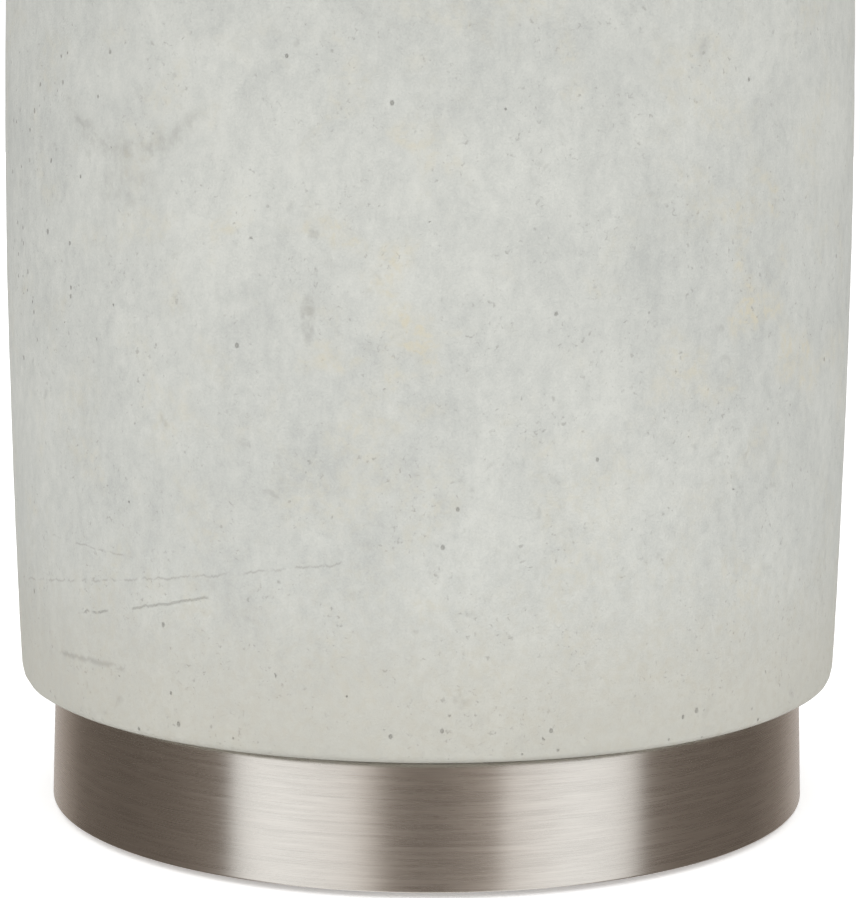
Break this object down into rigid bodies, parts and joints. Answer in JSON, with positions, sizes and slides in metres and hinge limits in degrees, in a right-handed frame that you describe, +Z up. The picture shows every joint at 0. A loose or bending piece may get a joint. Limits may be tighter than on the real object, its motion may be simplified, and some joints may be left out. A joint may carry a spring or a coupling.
{
  "type": "table lamp with shade",
  "caption": "Table lamp with a barrel-shaped concrete body on a brushed nickel base, a harp, a turn-switch socket and a tapered linen drum shade held by a finial.",
  "frame": {"origin": "centre of the felt face the lamp stands on", "axes": "+Z up through the rod, harp and finial; the switch knob points to -Y, the cord's bushing to +Y, and the harp's legs stand at -X and +X"},
  "size_m": [0.358, 0.358, 0.5303],
  "materials": {
    "felt": "matte black felt",
    "fibreboard": "raw fibreboard",
    "brushed_nickel": "brushed nickel plate, satin",
    "black_plastic": "moulded black plastic",
    "black_rubber": "matte",
    "zinc_steel": "zinc-plated steel",
    "concrete": "cast concrete, fair-faced, sealed matte",
    "nickel": "nickel plate, satin",
    "paper_board": "fish paper",
    "brass": "bare brass",
    "white_wire": "white powder coat",
    "liner": "styrene sheet, white",
    "linen": "woven linen",
    "linen_tape": "woven linen tape",
    "cap_metal": "rolled aluminium",
    "black_glass": "glossy",
    "white_plastic": "white plastic",
    "diffuser": "frosted"
  },
  "bodies": {
    "lamp": {"felt_pad": "felt", "base_cover": "fibreboard", "base_pan": "brushed_nickel", "cord_bushing": "black_plastic", "gasket": "black_rubber", "threaded_rod": "zinc_steel", "bottom_washer": "zinc_steel", "lock_washer": "zinc_steel", "bottom_nut": "zinc_steel", "concrete_body": "concrete", "body_cap": "brushed_nickel", "neck_tube": "brushed_nickel", "neck_cap": "brushed_nickel", "harp_saddle": "nickel", "socket_cap": "nickel", "set_screw": "zinc_steel", "socket_shell": "nickel", "socket_insulator": "paper_board", "switch_block": "black_plastic", "terminal_screws": "brass", "screw_shell": "brass", "centre_contact": "brass"},
    "switch": {"switch_stem": "zinc_steel", "switch_knob": "black_plastic"},
    "harp": {"harp_wire": "nickel", "harp_seat": "nickel"},
    "left_sleeve": {"harp_sleeve_left": "nickel"},
    "right_sleeve": {"harp_sleeve_right": "nickel"},
    "shade": {"spider_hub": "white_wire", "spider_arms": "white_wire", "shade_top_ring": "white_wire", "shade_bottom_ring": "white_wire", "shade_liner": "liner", "shade_fabric": "linen", "shade_top_tape": "linen_tape", "shade_bottom_tape": "linen_tape"},
    "finial_lift": {"finial_washer": "nickel"},
    "finial": {"finial": "brushed_nickel"},
    "bulb_lift": {"bulb_tip_contact": "cap_metal", "bulb_cap_insulator": "black_glass"},
    "bulb": {"bulb_cap": "cap_metal", "bulb_housing": "white_plastic", "bulb_globe": "diffuser"}
  },
  "joints": [
    {"name": "switch_turn", "type": "hinge", "parent": "lamp", "child": "switch", "pos_m": [0, -0.02, 0.309], "axis": [0, -1, 0], "continuous": true},
    {"name": "harp_lift", "type": "slide", "parent": "lamp", "child": "harp", "axis": [0, 0, 1], "range_m": [0, 0.03]},
    {"name": "left_sleeve_slide", "type": "slide", "parent": "harp", "child": "left_sleeve", "axis": [0, 0, 1], "range_m": [0, 0.014]},
    {"name": "right_sleeve_slide", "type": "slide", "parent": "harp", "child": "right_sleeve", "axis": [0, 0, 1], "range_m": [0, 0.014]},
    {"name": "shade_turn", "type": "hinge", "parent": "harp", "child": "shade", "pos_m": [0, 0, 0.5045], "axis": [0, 0, 1], "continuous": true},
    {"name": "finial_rise", "type": "slide", "parent": "harp", "child": "finial_lift", "axis": [0, 0, 1], "range_m": [0, 0.00847]},
    {"name": "finial_turn", "type": "hinge", "parent": "finial_lift", "child": "finial", "pos_m": [0, 0, 0.507], "axis": [0, 0, 1], "range_deg": [0, 3241]},
    {"name": "bulb_rise", "type": "slide", "parent": "lamp", "child": "bulb_lift", "axis": [0, 0, 1], "range_m": [0, 0.01814]},
    {"name": "bulb_turn", "type": "hinge", "parent": "bulb_lift", "child": "bulb", "pos_m": [0, 0, 0.33], "axis": [0, 0, 1], "range_deg": [0, 1801]}
  ],
  "couplings": [
    {"joint": "finial_turn", "follows": "finial_rise", "rad_per_m": 6679},
    {"joint": "bulb_turn", "follows": "bulb_rise", "rad_per_m": 1731.6}
  ]
}
